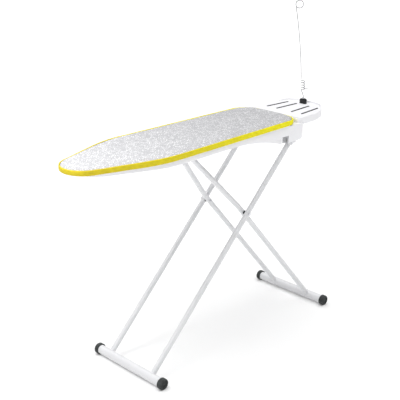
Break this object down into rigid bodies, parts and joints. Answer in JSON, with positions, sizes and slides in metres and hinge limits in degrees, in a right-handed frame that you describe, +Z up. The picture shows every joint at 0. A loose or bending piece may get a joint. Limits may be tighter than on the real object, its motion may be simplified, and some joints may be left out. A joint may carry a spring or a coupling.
{
  "type": "ironing board",
  "caption": "Folding ironing board: padded tapering board on a white scissor leg frame, with a side iron rest, sprung cable guide and rubber-capped foot bars.",
  "frame": {"origin": "on the floor, under the centre of the whole object", "axes": "+X from the nose of the board towards the iron rest, +Y across the board, +Z up"},
  "size_m": [1.49, 0.44, 1.4862],
  "materials": {
    "white_paint": "gloss white powder coat",
    "white_plastic": "satin moulded white",
    "zinc_steel": "zinc-plated",
    "mesh_steel": "light grey coated steel mesh",
    "black_plastic": "moulded black",
    "black_rubber": "matt rubber",
    "grey_plastic": "moulded light grey",
    "nylon": "natural nylon",
    "foam": "open-cell foam",
    "cover_fabric": "woven cotton, fine light grey and white mosaic print",
    "yellow_fabric": "woven yellow edging",
    "elastic": "woven elastic",
    "wire_steel": "bright spring steel wire"
  },
  "bodies": {
    "board": {"body_shell": "white_plastic", "top_plate": "mesh_steel", "foam_pad": "foam", "cover": "cover_fabric", "edge_band": "yellow_fabric", "cover_elastic": "elastic", "slide_rail_near": "zinc_steel", "slide_rail_far": "zinc_steel", "rail_rivets": "zinc_steel", "latch_bracket": "zinc_steel", "latch_pin": "zinc_steel", "hinge_bracket_near": "white_paint", "hinge_bracket_far": "white_paint", "bracket_trims": "grey_plastic", "hinge_bolts": "zinc_steel", "hinge_washers": "nylon", "shell_screws": "zinc_steel", "iron_rest": "white_plastic", "heat_strip_1": "black_plastic", "heat_strip_2": "black_plastic", "heat_strip_3": "black_plastic", "heat_strip_4": "black_plastic", "rest_arm_near": "zinc_steel", "rest_arm_far": "zinc_steel", "rest_screws": "zinc_steel", "guide_block": "black_plastic", "guide_block_screws": "zinc_steel"},
    "outer_legs": {"outer_leg_near": "white_paint", "outer_leg_far": "white_paint", "outer_foot_bar": "white_paint", "outer_cap_near": "black_rubber", "outer_cap_far": "black_rubber", "pivot_bolts": "zinc_steel", "pivot_nuts": "zinc_steel", "pivot_spacers": "black_plastic"},
    "inner_legs": {"inner_leg_near": "white_paint", "inner_leg_far": "white_paint", "inner_foot_bar": "white_paint", "inner_cap_near": "black_rubber", "inner_cap_far": "black_rubber", "top_axle": "zinc_steel", "axle_clips": "zinc_steel"},
    "near_roller": {"roller_near": "nylon"},
    "far_roller": {"roller_far": "nylon"},
    "latch": {"latch_bar": "zinc_steel", "latch_arm": "zinc_steel", "latch_grip": "grey_plastic"},
    "guide_base": {"guide_swivel": "zinc_steel", "guide_coil": "wire_steel", "cord_hook": "wire_steel"},
    "guide_wire": {"guide_mast": "wire_steel"}
  },
  "joints": [
    {"name": "leg_fold", "type": "hinge", "parent": "board", "child": "outer_legs", "pos_m": [0.425, 0, 0.88677], "axis": [0, 1, 0], "range_deg": [0, 44]},
    {"name": "leg_scissor", "type": "hinge", "parent": "outer_legs", "child": "inner_legs", "pos_m": [0.145, 0, 0.611], "axis": [0, 1, 0], "range_deg": [-84.2, 0]},
    {"name": "near_roller_spin", "type": "hinge", "parent": "inner_legs", "child": "near_roller", "pos_m": [-0.15086, -0.071, 0.955], "axis": [0, 1, 0], "continuous": true},
    {"name": "far_roller_spin", "type": "hinge", "parent": "inner_legs", "child": "far_roller", "pos_m": [-0.15086, 0.071, 0.955], "axis": [0, 1, 0], "continuous": true},
    {"name": "height_latch", "type": "hinge", "parent": "board", "child": "latch", "pos_m": [0, 0, 0.936], "axis": [0, 1, 0], "range_deg": [0, 2.4]},
    {"name": "guide_turn", "type": "hinge", "parent": "board", "child": "guide_base", "pos_m": [0.707, 0.017, 1], "axis": [0, 0, 1], "continuous": true},
    {"name": "guide_flex", "type": "hinge", "parent": "guide_base", "child": "guide_wire", "pos_m": [0.6971, 0.0269, 1.1057], "axis": [0, 1, 0], "range_deg": [-35, 35], "stiffness_Nm_per_rad": 0.3}
  ],
  "couplings": [
    {"joint": "leg_scissor", "follows": "leg_fold", "ratio": -1.9127}
  ]
}
